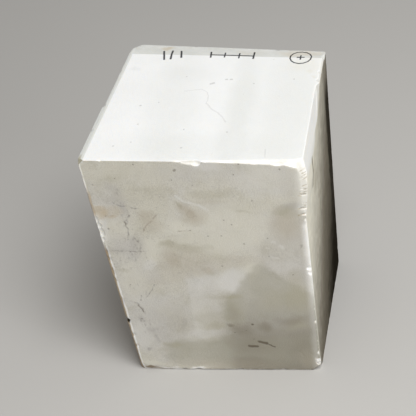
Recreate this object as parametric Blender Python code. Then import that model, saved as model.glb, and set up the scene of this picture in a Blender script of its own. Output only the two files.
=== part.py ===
"""A sawn block of white marble, stood on its foot: one natural stone, chipped along its arrises.

Metres, +Z up. The origin is on the ground under the middle of the block, and the front looks along -Y.
The faces are flat saw cuts, neither square to one another nor quite upright. A place on the stone is
given by how many millimetres inside its faces it lies, as a mason measures it off the arrises.
"""

import math
import random
from collections import namedtuple

import bmesh
import bpy
import numpy as np
from mathutils import Matrix, Vector

MM = 0.001

# The upright faces. Heading is the way a face looks, in degrees from +X, flare is how far it leans out on
# the way up, and reach is how far its foot stands from the upright axis.
Face = namedtuple("Face", "heading flare reach")
UPRIGHT_FACES = {
    "front": Face(heading=-90.0, flare=1.7, reach=109.0 * MM),
    "right": Face(heading=-0.2, flare=3.45, reach=111.7 * MM),
    "back": Face(heading=85.7, flare=-1.75, reach=111.0 * MM),
    "left": Face(heading=174.8, flare=1.5, reach=112.6 * MM),
}
# The top falls away towards the right front corner.
TOP_HEIGHT = 344.0 * MM
TOP_TILT = 4.8
TOP_FALLS_TOWARDS = -56.2

STONE_COLOUR = (0.73, 0.71, 0.66, 1.0)
STONE_ROUGHNESS = 0.55

ROUGH_SIZE = 0.8  # side of the rough cube that the faces are sawn from
WORN_WIDTH = 1.3  # mm, the wear on an arris with no larger break of its own

# Straight cuts, each a plane through three places. The margins are dressed strips along the top.
CUTS = {
    "back margin": (
        dict(top=0, back=17.5, left=10),
        dict(top=0, back=14.5, right=10),
        dict(back=0, top=1.8, left=100),
    ),
    "left margin": (
        dict(top=0, left=4.8, front=20),
        dict(top=0, left=5.2, back=30),
        dict(left=0, top=1.2, front=100),
    ),
    "right margin": (
        dict(top=0, right=3.4, front=12),
        dict(top=0, right=3.4, front=200),
        dict(right=0, top=1.0, front=100),
    ),
    "worn front edge of the top": (
        dict(front=0, top=0.1, left=112),
        dict(front=0, top=4.2, right=31),
        dict(top=0, front=2.8, right=80),
    ),
    "crushed right front corner, upper half": (
        dict(front=0, top=4.6, right=26),
        dict(front=0, top=9.5, right=10),
        dict(top=0, front=6, right=8),
    ),
    "crushed right front corner, lower half": (
        dict(front=0, top=9.5, right=10),
        dict(front=0, top=36, right=2.5),
        dict(top=0, front=7, right=2.8),
    ),
    "nicked left front corner": (
        dict(front=0, top=0, left=6.5),
        dict(left=0, top=0, front=5),
        dict(front=0, left=0, top=6),
    ),
    "left back corner, back half": (
        dict(top=0, back=0, left=13),
        dict(top=0, left=4, back=9),
        dict(back=0, left=0, top=110),
    ),
    "left back corner, left half": (
        dict(top=0, left=0, back=33),
        dict(top=0, left=4, back=9),
        dict(back=0, left=0, top=110),
    ),
    "weathered skin down the left front arris": (
        dict(front=0, left=0.6, top=10),
        dict(front=0, left=3.6, base=40),
        dict(left=0, front=3, base=130),
    ),
    "worn foot of the front": (
        dict(front=0, base=2.6, left=60),
        dict(front=0, base=2.2, left=160),
        dict(base=0, front=1.6, left=100),
    ),
    "left front foot": (
        dict(front=0, base=8, left=11),
        dict(front=0, base=2.6, left=65),
        dict(base=0, front=2.2, left=30),
    ),
    "left front toe": (
        dict(front=0, base=18, left=1),
        dict(front=0, base=8, left=9),
        dict(base=0, front=3.6, left=4),
    ),
    "right front toe": (
        dict(front=0, base=0, right=13),
        dict(front=0, right=0, base=11),
        dict(base=0, right=0, front=14),
    ),
}
WORN_ARRISES = (
    ("back", "right"),
    ("back", "left"),
    ("base", "right"),
    ("base", "back"),
    ("base", "left"),
)

# Long flakes. Each is what lies outside all its planes at once: the flake's bed, then where it ran out.
FLAKES = {
    "spall behind the left margin": (
        (dict(top=0, left=2.2, front=110), dict(top=0, left=2.2, back=30), dict(left=0, top=16, front=160)),
        (dict(left=0, top=0, front=100), dict(left=2.2, top=0, front=104), dict(left=0, top=16, front=116)),
    ),
    "flake under the right margin": (
        (dict(top=0, right=3.4, front=12), dict(top=0, right=4.2, front=141), dict(right=0, top=26, front=60)),
        (dict(top=0, right=0, front=146), dict(right=0, top=24, front=113), dict(top=0, right=4.2, front=140)),
    ),
    "flake down the right front arris": (
        (dict(front=0, right=0.3, base=13), dict(front=0, right=4.4, base=245), dict(right=0, front=75, base=200)),
        (dict(front=0, right=4.4, base=245), dict(front=0, right=0, base=292), dict(right=0, front=110, base=262)),
    ),
    "crushed stretch of the right front arris": (
        (dict(front=0, right=9, base=318), dict(front=0, right=6.5, base=256), dict(right=0, front=2.6, base=290)),
        (dict(front=0, right=6.5, base=256), dict(front=0, right=0, base=249), dict(right=0, front=2.6, base=252)),
    ),
}

# Scallops knocked out of the arrises: how far along the arris from a third face, half the length along
# it, and how far it reaches over the first and the second of the two faces.
Scallop = namedtuple("Scallop", "along half_length over_first over_second")
CHIPS = {
    ("front", "top", "left"): (
        Scallop(131, 11, 5.0, 1.6),
        Scallop(138, 6.5, 7.4, 2.2),
        Scallop(118, 5, 1.6, 1.4),
        Scallop(205, 9, 3.8, 2.6),
        Scallop(231, 12, 5.6, 3.4),
        Scallop(27, 3, 1.4, 1.2),
    ),
    ("front", "right", "base"): (
        Scallop(246, 4.5, 6.0, 4.0),
        Scallop(171, 3.5, 9.0, 3.0),
        Scallop(164, 4.0, 7.0, 3.5),
        Scallop(146, 1.9, 3.6, 2.4),
        Scallop(140, 2.0, 3.4, 2.4),
        Scallop(134, 1.8, 3.2, 2.2),
        Scallop(84, 3.2, 4.0, 3.0),
        Scallop(71, 2.0, 2.4, 2.0),
        Scallop(52, 2.6, 2.2, 2.0),
        Scallop(31, 3.6, 3.4, 2.6),
    ),
    ("front", "left", "base"): (
        Scallop(291, 5, 1.8, 1.6),
        Scallop(252, 7, 4.4, 1.6),
        Scallop(243, 6, 6.4, 2.0),
        Scallop(232, 9, 7.6, 2.2),
        Scallop(222, 5, 5.4, 1.8),
        Scallop(201, 8, 5.2, 1.6),
        Scallop(190, 5, 6.0, 1.6),
        Scallop(170, 8, 5.4, 1.6),
        Scallop(156, 6, 5.0, 1.6),
        Scallop(121, 9, 5.4, 1.6),
        Scallop(88, 3.2, 4.6, 7.0),
        Scallop(62, 4.4, 7.4, 1.8),
        Scallop(43, 3.6, 7.6, 1.8),
    ),
    ("top", "right", "front"): (
        Scallop(167, 3.2, 4.6, 1.6),
        Scallop(151, 2.6, 5.2, 1.6),
        Scallop(96, 3.0, 4.6, 2.0),
        Scallop(38, 3.0, 4.8, 2.0),
    ),
    ("left", "top", "front"): (
        Scallop(103, 4.0, 2.6, 4.0),
        Scallop(56, 2.6, 2.2, 3.4),
        Scallop(171, 3.4, 2.0, 4.0),
    ),
    ("front", "base", "left"): (
        Scallop(58, 5, 3.6, 3.0),
        Scallop(76, 6, 3.8, 3.0),
        Scallop(131, 5, 3.2, 2.6),
        Scallop(186, 6, 3.4, 2.8),
    ),
}

# The creases across the crushed stretch of the right front arris, from its head down: narrow scallops that
# run a little past the bed of the flake.
CREASE_HEIGHTS = (322, 315, 308, 303, 298, 293.5, 289, 285.5, 282, 275.5, 270, 264, 260, 255)
CREASE_OVER_FRONT = (11.0, 10.0, 9.5, 9.0, 9.5, 8.5, 10.0, 8.5, 10.5, 9.0, 9.5, 13.0, 9.0, 11.0)
CREASE_OVER_RIGHT = 3.4
CREASE_HALF_LENGTH = 1.2

# The arrises that face away: a scatter of lesser scallops along each, in mm.
SCATTER_SEED = 14
SCATTERED_ARRISES = {
    ("back", "right", "base"): 330,
    ("back", "left", "base"): 230,
    ("base", "right", "front"): 190,
    ("base", "back", "left"): 205,
    ("base", "left", "front"): 200,
}
SCATTER_SPACING = (16, 42)
SCATTER_HALF_LENGTH = (1.6, 7.0)
SCATTER_REACH = (0.5, 1.1)  # of the half length

SCALLOP_LIFT = 1.0  # how far outside the stone a scallop's centre stands, over the width of its mouth
LARGE_SCALLOP = 6.0  # mm, half length from which a scallop is drawn with finer facets


def upright_plane(face):
    """The outward normal and the offset of a face that may lean."""
    heading, flare = math.radians(face.heading), math.radians(face.flare)
    level = Vector((math.cos(heading), math.sin(heading), 0))
    return level * math.cos(flare) - Vector((0, 0, math.sin(flare))), face.reach * math.cos(flare)


def top_plane():
    heading, tilt = math.radians(TOP_FALLS_TOWARDS), math.radians(TOP_TILT)
    normal = Vector((math.cos(heading) * math.sin(tilt), math.sin(heading) * math.sin(tilt), math.cos(tilt)))
    return normal, TOP_HEIGHT * normal.z


PLANES = {name: upright_plane(face) for name, face in UPRIGHT_FACES.items()}
PLANES["top"] = top_plane()
PLANES["base"] = (Vector((0, 0, -1)), 0.0)


def place(**depths):
    """The point that lies these many millimetres inside three faces."""
    normals = np.array([PLANES[face][0] for face in depths])
    offsets = [PLANES[face][1] - depth * MM for face, depth in depths.items()]
    return Vector(np.linalg.solve(normals, offsets))


def cut_plane(places):
    """The plane through three places, looking away from the middle of the stone."""
    first, second, third = (place(**depths) for depths in places)
    normal = (second - first).cross(third - first).normalized()
    offset = normal.dot(first)
    middle = Vector((0, 0, TOP_HEIGHT / 2))
    return (normal, offset) if normal.dot(middle) < offset else (-normal, -offset)


def wear_plane(first, second):
    """The plane that takes the same narrow width off both faces of an arris."""
    (n1, o1), (n2, o2) = PLANES[first], PLANES[second]
    normal = n1 + n2
    return normal.normalized(), (o1 + o2 - WORN_WIDTH * MM) / normal.length


def trim(mesh, plane):
    """Takes away what lies outside the plane and closes the cut with one flat face."""
    normal, offset = plane
    everything = mesh.verts[:] + mesh.edges[:] + mesh.faces[:]
    cut = bmesh.ops.bisect_plane(
        mesh, geom=everything, plane_co=normal * offset, plane_no=normal, clear_outer=True
    )["geom_cut"]
    rim = [item for item in cut if isinstance(item, bmesh.types.BMEdge)]
    if rim:
        bmesh.ops.edgeloop_fill(mesh, edges=rim)


def object_from(name, mesh):
    bmesh.ops.recalc_face_normals(mesh, faces=mesh.faces)
    data = bpy.data.meshes.new(name)
    mesh.to_mesh(data)
    mesh.free()
    made = bpy.data.objects.new(name, data)
    bpy.context.scene.collection.objects.link(made)
    return made


def rough_cube():
    mesh = bmesh.new()
    bmesh.ops.create_cube(mesh, size=ROUGH_SIZE, matrix=Matrix.Translation((0, 0, TOP_HEIGHT / 2)))
    return mesh


def sawn_block():
    """The stone with every straight cut made."""
    mesh = rough_cube()
    for plane in PLANES.values():
        trim(mesh, plane)
    for places in CUTS.values():
        trim(mesh, cut_plane(places))
    for pair in WORN_ARRISES:
        trim(mesh, wear_plane(*pair))
    return object_from("marble_block", mesh)


def take_away(stone, name, cutter):
    cutter.hide_render = True
    cutter.display_type = "WIRE"
    modifier = stone.modifiers.new(name, "BOOLEAN")
    modifier.operation = "DIFFERENCE"
    modifier.solver = "EXACT"
    modifier.object = cutter


def flake_cutter(name, beds):
    """The wedge outside all of a flake's planes at once."""
    mesh = rough_cube()
    for places in beds:
        normal, offset = cut_plane(places)
        trim(mesh, (-normal, -offset))
    return object_from(name, mesh)


def scallop_cutter(name, arris, chip):
    """An ellipsoid across an arris: in section an arc from one face to the other, bulging into the stone.

    Its centre stands outside, and it is stretched so that its mouth has the chip's length on the arris.
    """
    first, second, third = arris
    out, other = PLANES[first][0], PLANES[second][0]
    along = out.cross(other).normalized()
    side = along.cross(out)
    middle = place(**{first: 0, second: 0, third: chip.along})
    mouth = Vector((chip.over_second, chip.over_first)) * MM
    lift = SCALLOP_LIFT * mouth.length
    centre = -mouth / 2 + Vector((mouth.y, mouth.x)).normalized() * lift
    radius = math.hypot(lift, mouth.length / 2)
    half_length = chip.half_length * MM / math.sqrt(1 - (centre.length / radius) ** 2)
    turn = Matrix((out * radius, side * radius, along * half_length)).transposed()
    spot = Matrix.Translation(middle + out * centre.x + side * centre.y)
    mesh = bmesh.new()
    finer = chip.half_length >= LARGE_SCALLOP
    bmesh.ops.create_icosphere(mesh, subdivisions=3 if finer else 2, radius=1, matrix=spot @ turn.to_4x4())
    return object_from(name, mesh)


def creases():
    for height, over_front in zip(CREASE_HEIGHTS, CREASE_OVER_FRONT):
        yield Scallop(height, CREASE_HALF_LENGTH, over_front, CREASE_OVER_RIGHT)


def scattered_chips():
    """Lesser scallops at uneven spacings along the arrises that face away."""
    draw = random.Random(SCATTER_SEED)
    for arris, length in SCATTERED_ARRISES.items():
        along = draw.uniform(*SCATTER_SPACING)
        while along < length:
            half_length = draw.uniform(*SCATTER_HALF_LENGTH)
            reach = [half_length * draw.uniform(*SCATTER_REACH) for _ in range(2)]
            yield arris, Scallop(along, half_length, *reach)
            along += draw.uniform(*SCATTER_SPACING)


def marble():
    material = bpy.data.materials.new("marble")
    material.use_nodes = True
    shader = material.node_tree.nodes["Principled BSDF"]
    shader.inputs["Base Color"].default_value = STONE_COLOUR
    shader.inputs["Roughness"].default_value = STONE_ROUGHNESS
    shader.inputs["Metallic"].default_value = 0.0
    return material


for leftover in list(bpy.data.objects):
    bpy.data.objects.remove(leftover, do_unlink=True)

block = sawn_block()
block.data.materials.append(marble())
for flake_name, flake_beds in FLAKES.items():
    take_away(block, flake_name, flake_cutter(flake_name, flake_beds))
all_chips = [(arris, chip) for arris, chips in CHIPS.items() for chip in chips]
all_chips += [(("front", "right", "base"), crease) for crease in creases()]
all_chips += list(scattered_chips())
for number, (arris, chip) in enumerate(all_chips, start=1):
    chip_name = f"scallop {number}"
    take_away(block, chip_name, scallop_cutter(chip_name, arris, chip))
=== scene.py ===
import itertools
import math
from collections import namedtuple

import bpy
import numpy as np
from mathutils import Matrix


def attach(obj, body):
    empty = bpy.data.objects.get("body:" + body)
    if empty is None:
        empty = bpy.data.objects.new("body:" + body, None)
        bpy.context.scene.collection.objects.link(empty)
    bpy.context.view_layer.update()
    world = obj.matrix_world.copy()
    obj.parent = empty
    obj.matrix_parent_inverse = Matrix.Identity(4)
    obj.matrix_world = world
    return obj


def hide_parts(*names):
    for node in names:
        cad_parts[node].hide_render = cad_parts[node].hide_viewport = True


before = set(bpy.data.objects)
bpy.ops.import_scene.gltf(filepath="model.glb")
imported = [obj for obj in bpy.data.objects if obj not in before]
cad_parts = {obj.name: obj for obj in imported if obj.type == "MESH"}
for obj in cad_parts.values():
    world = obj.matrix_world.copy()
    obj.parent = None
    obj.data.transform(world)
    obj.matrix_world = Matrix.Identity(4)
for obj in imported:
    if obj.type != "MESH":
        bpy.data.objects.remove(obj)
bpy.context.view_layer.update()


# ---------------------------------------------------------------------------------------------------------
# The block: one natural stone, white marble clouded grey and beige, that stands loose on its foot. Its six
# sides are saw cuts, neither square nor quite upright; a chisel dressed the margins of the top, and handling
# chipped every arris. Lengths are in mm, and a place is given by how far inside the faces it lies.

MM = 0.001

# Each upright face: the way it looks in degrees from +X, how far it leans out going up, in degrees, and how
# far its foot stands from the upright axis.
UPRIGHT_FACES = {
    "front": (-90.0, 1.7, 109.0),
    "right": (-0.2, 3.45, 111.7),
    "back": (85.7, -1.75, 111.0),
    "left": (174.8, 1.5, 112.6),
}
TOP_HEIGHT = 344.0
TOP_TILT = 4.8
TOP_FALLS_TOWARDS = -56.2
MIDDLE = np.array((0, 0, TOP_HEIGHT / 2))


def level_way(heading):
    """The level unit vector that looks this way, in degrees from +X."""
    return np.array((math.cos(math.radians(heading)), math.sin(math.radians(heading)), 0))


def upright(heading, flare, reach):
    """Outward normal and offset of an upright face: the level way it looks, tipped down by its flare."""
    flare = math.radians(flare)
    return level_way(heading) * math.cos(flare) - (0, 0, math.sin(flare)), reach * math.cos(flare)


def sloping_top():
    """Outward normal and offset of the top: straight up, tipped towards where it falls away."""
    tilt = math.radians(TOP_TILT)
    normal = level_way(TOP_FALLS_TOWARDS) * math.sin(tilt) + (0, 0, math.cos(tilt))
    return normal, TOP_HEIGHT * normal[2]


FACES = {name: upright(*face) for name, face in UPRIGHT_FACES.items()}
FACES["top"] = sloping_top()
FACES["base"] = (np.array((0, 0, -1.0)), 0.0)


def place(**depths):
    """The point that lies these many mm inside three faces."""
    normals = [FACES[face][0] for face in depths]
    return np.linalg.solve(normals, [FACES[face][1] - depth for face, depth in depths.items()])


def cut_plane(places):
    """Outward normal and offset of the plane through three places."""
    first, second, third = (place(**depths) for depths in places)
    normal = np.cross(second - first, third - first)
    normal /= np.linalg.norm(normal)
    offset = normal @ first
    return (normal, offset) if normal @ MIDDLE < offset else (-normal, -offset)


# The stone is drawn as a net over its six faces. Round the arrises the net is fine: frames that follow the
# rim of a face, each a little further in than the last. Twice on the way in every other point is dropped,
# and an even grid fills the middle.
PITCH = 1.3
CRUSHED_STRETCH = (245.0, 330.0)  # heights between which the right front arris is broken small
CRUSHED_CROWDING = 0.75  # how many more points stand there, over the usual number
FIRST_FRAME = 0.45
FRAME_GROWTH = 1.14
FRAMES = 17
HALVED_AT = (10, 15)
# Two axes of the cube that a face spans, the third axis with its side, and whether its polygons turn over.
FACE_AXES = {
    "front": (0, 2, 1, 0, False),
    "back": (0, 2, 1, 1, True),
    "left": (1, 2, 0, 0, True),
    "right": (1, 2, 0, 1, False),
    "base": (0, 1, 2, 0, True),
    "top": (0, 1, 2, 1, False),
}
CUBE_SIDES = (("left", "right"), ("front", "back"), ("base", "top"))
Net = namedtuple("Net", "points triangles quads")
DENSITY_STEPS = 1000


def stations(length, crowded=(0, 0), crowding=0.0):
    """Places from 0 to 1 along an arris, a pitch apart or closer in the crowded stretch, by inverting the
    running total of their density. Their number is a multiple of 4, so that it can be halved twice."""
    along = np.linspace(0, length, DENSITY_STEPS + 1)
    dense = 1 + crowding * ((along > crowded[0]) & (along < crowded[1]))
    total = np.concatenate(([0], np.cumsum((dense[1:] + dense[:-1]) / 2)))
    count = 4 * round(total[-1] * length / DENSITY_STEPS / PITCH / 4)
    return np.interp(np.linspace(0, total[-1], count + 1), total, along) / length


def frame_depth(row):
    """How far inside the rim a frame lies: a geometric series of steps."""
    return FIRST_FRAME * (FRAME_GROWTH**row - 1) / (FRAME_GROWTH - 1)


def joined(outer, inner):
    """The polygons between a frame and the next one in, which has as many points or half as many."""
    outer_next, inner_next = np.roll(outer, -1), np.roll(inner, -1)
    if len(outer) == len(inner):
        return [], [np.stack((outer, outer_next, inner_next, inner), 1)]
    even, odd, after = outer[::2], outer[1::2], outer_next[1::2]
    corners = ((even, odd, inner), (odd, inner_next, inner), (odd, after, inner_next))
    return [np.stack(three, 1) for three in corners], []


def face_net(across, up, size):
    """A face as frames and a middle grid. Frame k is the rim, scaled about the middle of the face until it
    lies frame_depth(k) inside; both of its parameters run from 0 to 1."""
    rim = np.concatenate(
        [
            np.stack((across[:-1], np.zeros(len(across) - 1)), 1),
            np.stack((np.ones(len(up) - 1), up[:-1]), 1),
            np.stack((across[:0:-1], np.ones(len(across) - 1)), 1),
            np.stack((np.zeros(len(up) - 1), up[:0:-1]), 1),
        ]
    )
    points, triangles, quads = [], [], []
    start, outer = 0, None
    for row in range(FRAMES):
        shrunk = 1 - 2 * frame_depth(row) / np.array(size)
        step = 2 ** sum(row >= halving for halving in HALVED_AT)
        points.append(0.5 + (rim[::step] - 0.5) * shrunk)
        inner = start + np.arange(len(points[-1]))
        start += len(inner)
        if outer is not None:
            more_triangles, more_quads = joined(outer, inner)
            triangles += more_triangles
            quads += more_quads
        outer = inner
    middle = np.stack(np.meshgrid(across[::step], up[::step], indexing="ij"), -1)
    numbers = start + np.arange(middle[..., 0].size).reshape(middle.shape[:2])
    points.append((0.5 + (middle - 0.5) * shrunk).reshape(-1, 2))
    corners = (numbers[:-1, :-1], numbers[1:, :-1], numbers[1:, 1:], numbers[:-1, 1:])
    quads.append(np.stack([corner.ravel() for corner in corners], 1))
    return Net(np.concatenate(points), np.concatenate(triangles), np.concatenate(quads))


def cube_net():
    """The nets of all six faces on a cube from 0 to 1, welded where they meet."""
    corner = place(front=0, left=0, base=0)
    opposite = place(back=0, right=0, top=0)
    sizes = opposite - corner
    steps = [stations(sizes[0]), stations(sizes[1]), stations(sizes[2], CRUSHED_STRETCH, CRUSHED_CROWDING)]
    points, triangles, quads = [], [], []
    start = 0
    for first, second, third, side, turned in FACE_AXES.values():
        net = face_net(steps[first], steps[second], (sizes[first], sizes[second]))
        on_cube = np.full((len(net.points), 3), float(side))
        on_cube[:, (first, second)] = net.points
        way = -1 if turned else 1
        points.append(on_cube)
        triangles.append(start + net.triangles[:, ::way])
        quads.append(start + net.quads[:, ::way])
        start += len(net.points)
    welded, number = np.unique(np.round(np.concatenate(points), 9), axis=0, return_inverse=True)
    number = number.ravel()
    return Net(welded, number[np.concatenate(triangles)], number[np.concatenate(quads)])


def between_corners(on_cube):
    """The cube's points carried onto the flat faces: the average of the eight corners of the stone, weighted
    by how near each is along every axis."""
    total = 0
    for sides in itertools.product((0, 1), repeat=3):
        corner = place(**{CUBE_SIDES[axis][side]: 0 for axis, side in enumerate(sides)})
        weight = np.prod(np.where(sides, on_cube, 1 - on_cube), axis=1)
        total = total + weight[:, None] * corner
    return total


# What is gone from the stone. Straight cuts are planes through three places; the margins are dressed strips.
CUTS = {
    "back margin": (
        dict(top=0, back=17.5, left=10),
        dict(top=0, back=14.5, right=10),
        dict(back=0, top=1.8, left=100),
    ),
    "left margin": (
        dict(top=0, left=4.8, front=20),
        dict(top=0, left=5.2, back=30),
        dict(left=0, top=1.2, front=100),
    ),
    "right margin": (
        dict(top=0, right=3.4, front=12),
        dict(top=0, right=3.4, front=200),
        dict(right=0, top=1.0, front=100),
    ),
    "worn front edge of the top": (
        dict(front=0, top=0.1, left=112),
        dict(front=0, top=4.2, right=31),
        dict(top=0, front=2.8, right=80),
    ),
    "crushed right front corner, upper half": (
        dict(front=0, top=4.6, right=26),
        dict(front=0, top=9.5, right=10),
        dict(top=0, front=6, right=8),
    ),
    "crushed right front corner, lower half": (
        dict(front=0, top=9.5, right=10),
        dict(front=0, top=36, right=2.5),
        dict(top=0, front=7, right=2.8),
    ),
    "nicked left front corner": (
        dict(front=0, top=0, left=8),
        dict(left=0, top=0, front=6.5),
        dict(front=0, left=0, top=7.5),
    ),
    "left back corner, back half": (
        dict(top=0, back=0, left=13),
        dict(top=0, left=4, back=9),
        dict(back=0, left=0, top=110),
    ),
    "left back corner, left half": (
        dict(top=0, left=0, back=33),
        dict(top=0, left=4, back=9),
        dict(back=0, left=0, top=110),
    ),
    "weathered skin down the left front arris": (
        dict(front=0, left=0.6, top=10),
        dict(front=0, left=3.6, base=40),
        dict(left=0, front=3, base=130),
    ),
    "worn foot of the front": (
        dict(front=0, base=2.6, left=60),
        dict(front=0, base=2.2, left=160),
        dict(base=0, front=1.6, left=100),
    ),
    "left front foot": (
        dict(front=0, base=8, left=11),
        dict(front=0, base=2.6, left=65),
        dict(base=0, front=2.2, left=30),
    ),
    "left front toe": (
        dict(front=0, base=18, left=1),
        dict(front=0, base=8, left=9),
        dict(base=0, front=3.6, left=4),
    ),
    "right front toe": (
        dict(front=0, base=0, right=13),
        dict(front=0, right=0, base=11),
        dict(base=0, right=0, front=14),
    ),
}

# Long flakes. Each is what lies outside all its planes at once: the flake's bed, then where it ran out.
FLAKES = {
    "spall behind the left margin": (
        (
            dict(top=0, left=2.2, front=110),
            dict(top=0, left=2.2, back=30),
            dict(left=0, top=16, front=160),
        ),
        (
            dict(left=0, top=0, front=100),
            dict(left=2.2, top=0, front=104),
            dict(left=0, top=16, front=116),
        ),
    ),
    "flake under the right margin": (
        (
            dict(top=0, right=3.4, front=12),
            dict(top=0, right=4.2, front=141),
            dict(right=0, top=26, front=60),
        ),
        (
            dict(top=0, right=0, front=146),
            dict(right=0, top=24, front=113),
            dict(top=0, right=4.2, front=140),
        ),
    ),
    "flake down the right front arris": (
        (
            dict(front=0, right=0.3, base=13),
            dict(front=0, right=4.4, base=245),
            dict(right=0, front=75, base=200),
        ),
        (
            dict(front=0, right=4.4, base=245),
            dict(front=0, right=0, base=292),
            dict(right=0, front=110, base=262),
        ),
    ),
    "crushed stretch of the right front arris": (
        (
            dict(front=0, right=9, base=318),
            dict(front=0, right=6.5, base=256),
            dict(right=0, front=2.6, base=290),
        ),
        (
            dict(front=0, right=6.5, base=256),
            dict(front=0, right=0, base=249),
            dict(right=0, front=2.6, base=252),
        ),
    ),
}

# A stretch of every arris is finely chipped and worn to a narrow, uneven strip: from and to, counted from the
# third face. Before it the arris is nearly crisp.
ARRISES = {
    ("front", "top", "left"): (112, 262),
    ("front", "right", "base"): (0, 330),
    ("front", "left", "base"): (0, 340),
    ("front", "base", "left"): (0, 234),
    ("top", "right", "front"): (0, 210),
    ("top", "back", "left"): (0, 244),
    ("left", "top", "front"): (0, 228),
    ("back", "right", "base"): (0, 340),
    ("back", "left", "base"): (0, 352),
    ("base", "right", "front"): (0, 211),
    ("base", "back", "left"): (0, 214),
    ("base", "left", "front"): (0, 228),
}
WEAR_WIDTH = 0.9
CRISP_WIDTH = 0.15
WEAR_UNEVENNESS = 0.6
WEAR_CELLS = (3.0, 11.0)
WEAR_SEED = 1

# Scallops knocked out of the arrises: how far along the arris from a third face, half the length along
# it, and how far it reaches over the first and the second of the two faces.
Scallop = namedtuple("Scallop", "along half_length over_first over_second")
CHIPS = {
    ("front", "top", "left"): (
        Scallop(131, 11, 5.0, 1.6),
        Scallop(138, 6.5, 7.4, 2.2),
        Scallop(118, 5, 1.6, 1.4),
        Scallop(205, 9, 3.8, 2.6),
        Scallop(231, 12, 5.6, 3.4),
        Scallop(27, 3, 1.4, 1.2),
    ),
    ("front", "right", "base"): (
        Scallop(246, 4.5, 6.0, 4.0),
        Scallop(171, 3.5, 9.0, 3.0),
        Scallop(164, 4.0, 7.0, 3.5),
        Scallop(146, 1.9, 3.6, 2.4),
        Scallop(140, 2.0, 3.4, 2.4),
        Scallop(134, 1.8, 3.2, 2.2),
        Scallop(84, 3.2, 4.0, 3.0),
        Scallop(71, 2.0, 2.4, 2.0),
        Scallop(52, 2.6, 2.2, 2.0),
        Scallop(31, 3.6, 3.4, 2.6),
        Scallop(19, 3.0, 5.0, 2.4),
        Scallop(12.5, 2.6, 6.0, 2.8),
    ),
    ("front", "left", "base"): (
        Scallop(291, 5, 1.8, 1.6),
        Scallop(252, 7, 4.4, 1.6),
        Scallop(243, 6, 6.4, 2.0),
        Scallop(232, 9, 7.6, 2.2),
        Scallop(222, 5, 5.4, 1.8),
        Scallop(201, 8, 5.2, 1.6),
        Scallop(190, 5, 6.0, 1.6),
        Scallop(170, 8, 5.4, 1.6),
        Scallop(156, 6, 5.0, 1.6),
        Scallop(121, 9, 5.4, 1.6),
        Scallop(88, 4.2, 6.0, 7.0),
        Scallop(62, 4.4, 7.4, 1.8),
        Scallop(43, 3.6, 7.6, 1.8),
    ),
    ("top", "right", "front"): (
        Scallop(167, 3.2, 4.6, 1.6),
        Scallop(151, 2.6, 5.2, 1.6),
        Scallop(96, 3.0, 4.6, 2.0),
        Scallop(38, 3.0, 4.8, 2.0),
    ),
    ("left", "top", "front"): (
        Scallop(103, 4.0, 2.6, 4.0),
        Scallop(56, 2.6, 2.2, 3.4),
        Scallop(171, 3.4, 2.0, 4.0),
    ),
    ("front", "base", "left"): (
        Scallop(58, 5, 3.6, 3.0),
        Scallop(76, 6, 3.8, 3.0),
        Scallop(131, 5, 3.2, 2.6),
        Scallop(186, 6, 3.4, 2.8),
    ),
}

# The creases across the crushed stretch of the right front arris, from its head down: narrow scallops that
# run a little past the bed of the flake.
CREASES = (
    Scallop(318, 1.6, 10.0, 2.2),
    Scallop(313.5, 1.0, 7.5, 1.4),
    Scallop(306, 1.3, 8.5, 1.8),
    Scallop(296, 0.7, 8.0, 1.2),
    Scallop(291, 0.9, 9.0, 1.6),
    Scallop(286.5, 0.7, 9.0, 1.4),
    Scallop(282.5, 1.3, 11.5, 2.4),
    Scallop(271, 0.7, 8.0, 1.2),
    Scallop(267, 0.8, 8.0, 1.4),
    Scallop(263, 1.5, 13.0, 3.0),
    Scallop(254, 1.2, 12.0, 2.6),
)

# A scatter of lesser scallops, and of crumbs the size of a few grains, at uneven spacings on every arris.
SCATTER_SEED = 14
SCATTERS = (
    dict(spacing=(16, 42), half_length=(1.4, 4.5), reach=(0.3, 0.8)),
    dict(spacing=(2.5, 11), half_length=(0.6, 1.8), reach=(0.5, 1.0)),
)
SCALLOP_LIFT = 1.0  # how far outside the stone a scallop's centre stands, over the width of its mouth
SCALLOP_REACH = 2  # how many times a scallop's size its points may lie from its centre

# Unevenness: a slow swell on the saw cuts, and the sugary grain of broken marble.
SWELL = 0.22
SWELL_CELLS = (34.0, 90.0)
SWELL_SEED = 5
GRAIN = 0.2
GRAIN_CELLS = (1.5, 3.6)
GRAIN_SEED = 3
GRAIN_FULL_DEPTH = 1.2  # a break this deep shows all of the grain
LATTICE_PRIMES = np.array(((73856093,), (19349663,), (83492791,)))  # they scramble a lattice point's number
RANDOM_NUMBERS = 4096
NEARLY_LEVEL = 1e-9  # the least slope of a way towards a plane, so that nothing is divided by 0


def lattice_noise(points, cell, seed):
    """Smooth noise from -1 to 1: random numbers on a lattice, eased between the eight nearest."""
    low = np.floor(points / cell).astype(np.int64)
    part = points / cell - low
    part = part * part * (3 - 2 * part)
    table = np.random.default_rng(seed).uniform(-1, 1, RANDOM_NUMBERS)
    total = 0
    for corner in itertools.product((0, 1), repeat=3):
        x, y, z = (low + corner).T * LATTICE_PRIMES
        weight = np.prod(np.where(corner, part, 1 - part), axis=1)
        total = total + weight * table[(x ^ y ^ z) % len(table)]
    return total


def two_noises(points, cells, seed):
    """The mean of a fine and a coarse lattice noise."""
    return sum(lattice_noise(points, cell, seed + number) for number, cell in enumerate(cells)) / 2


def share_to_plane(way, normal, offset):
    """How much of the way from the middle of the stone to each point lies before a plane: the distance from
    the middle to the plane over the way's reach towards it, and far over 1 where the way never meets it."""
    return (offset - MIDDLE @ normal) / np.maximum(way @ normal, NEARLY_LEVEL)


def share_to_flake(way, beds):
    """The way to the region outside all of a flake's planes: the furthest of the shares."""
    return np.max([share_to_plane(way, *cut_plane(bed)) for bed in beds], axis=0)


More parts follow.
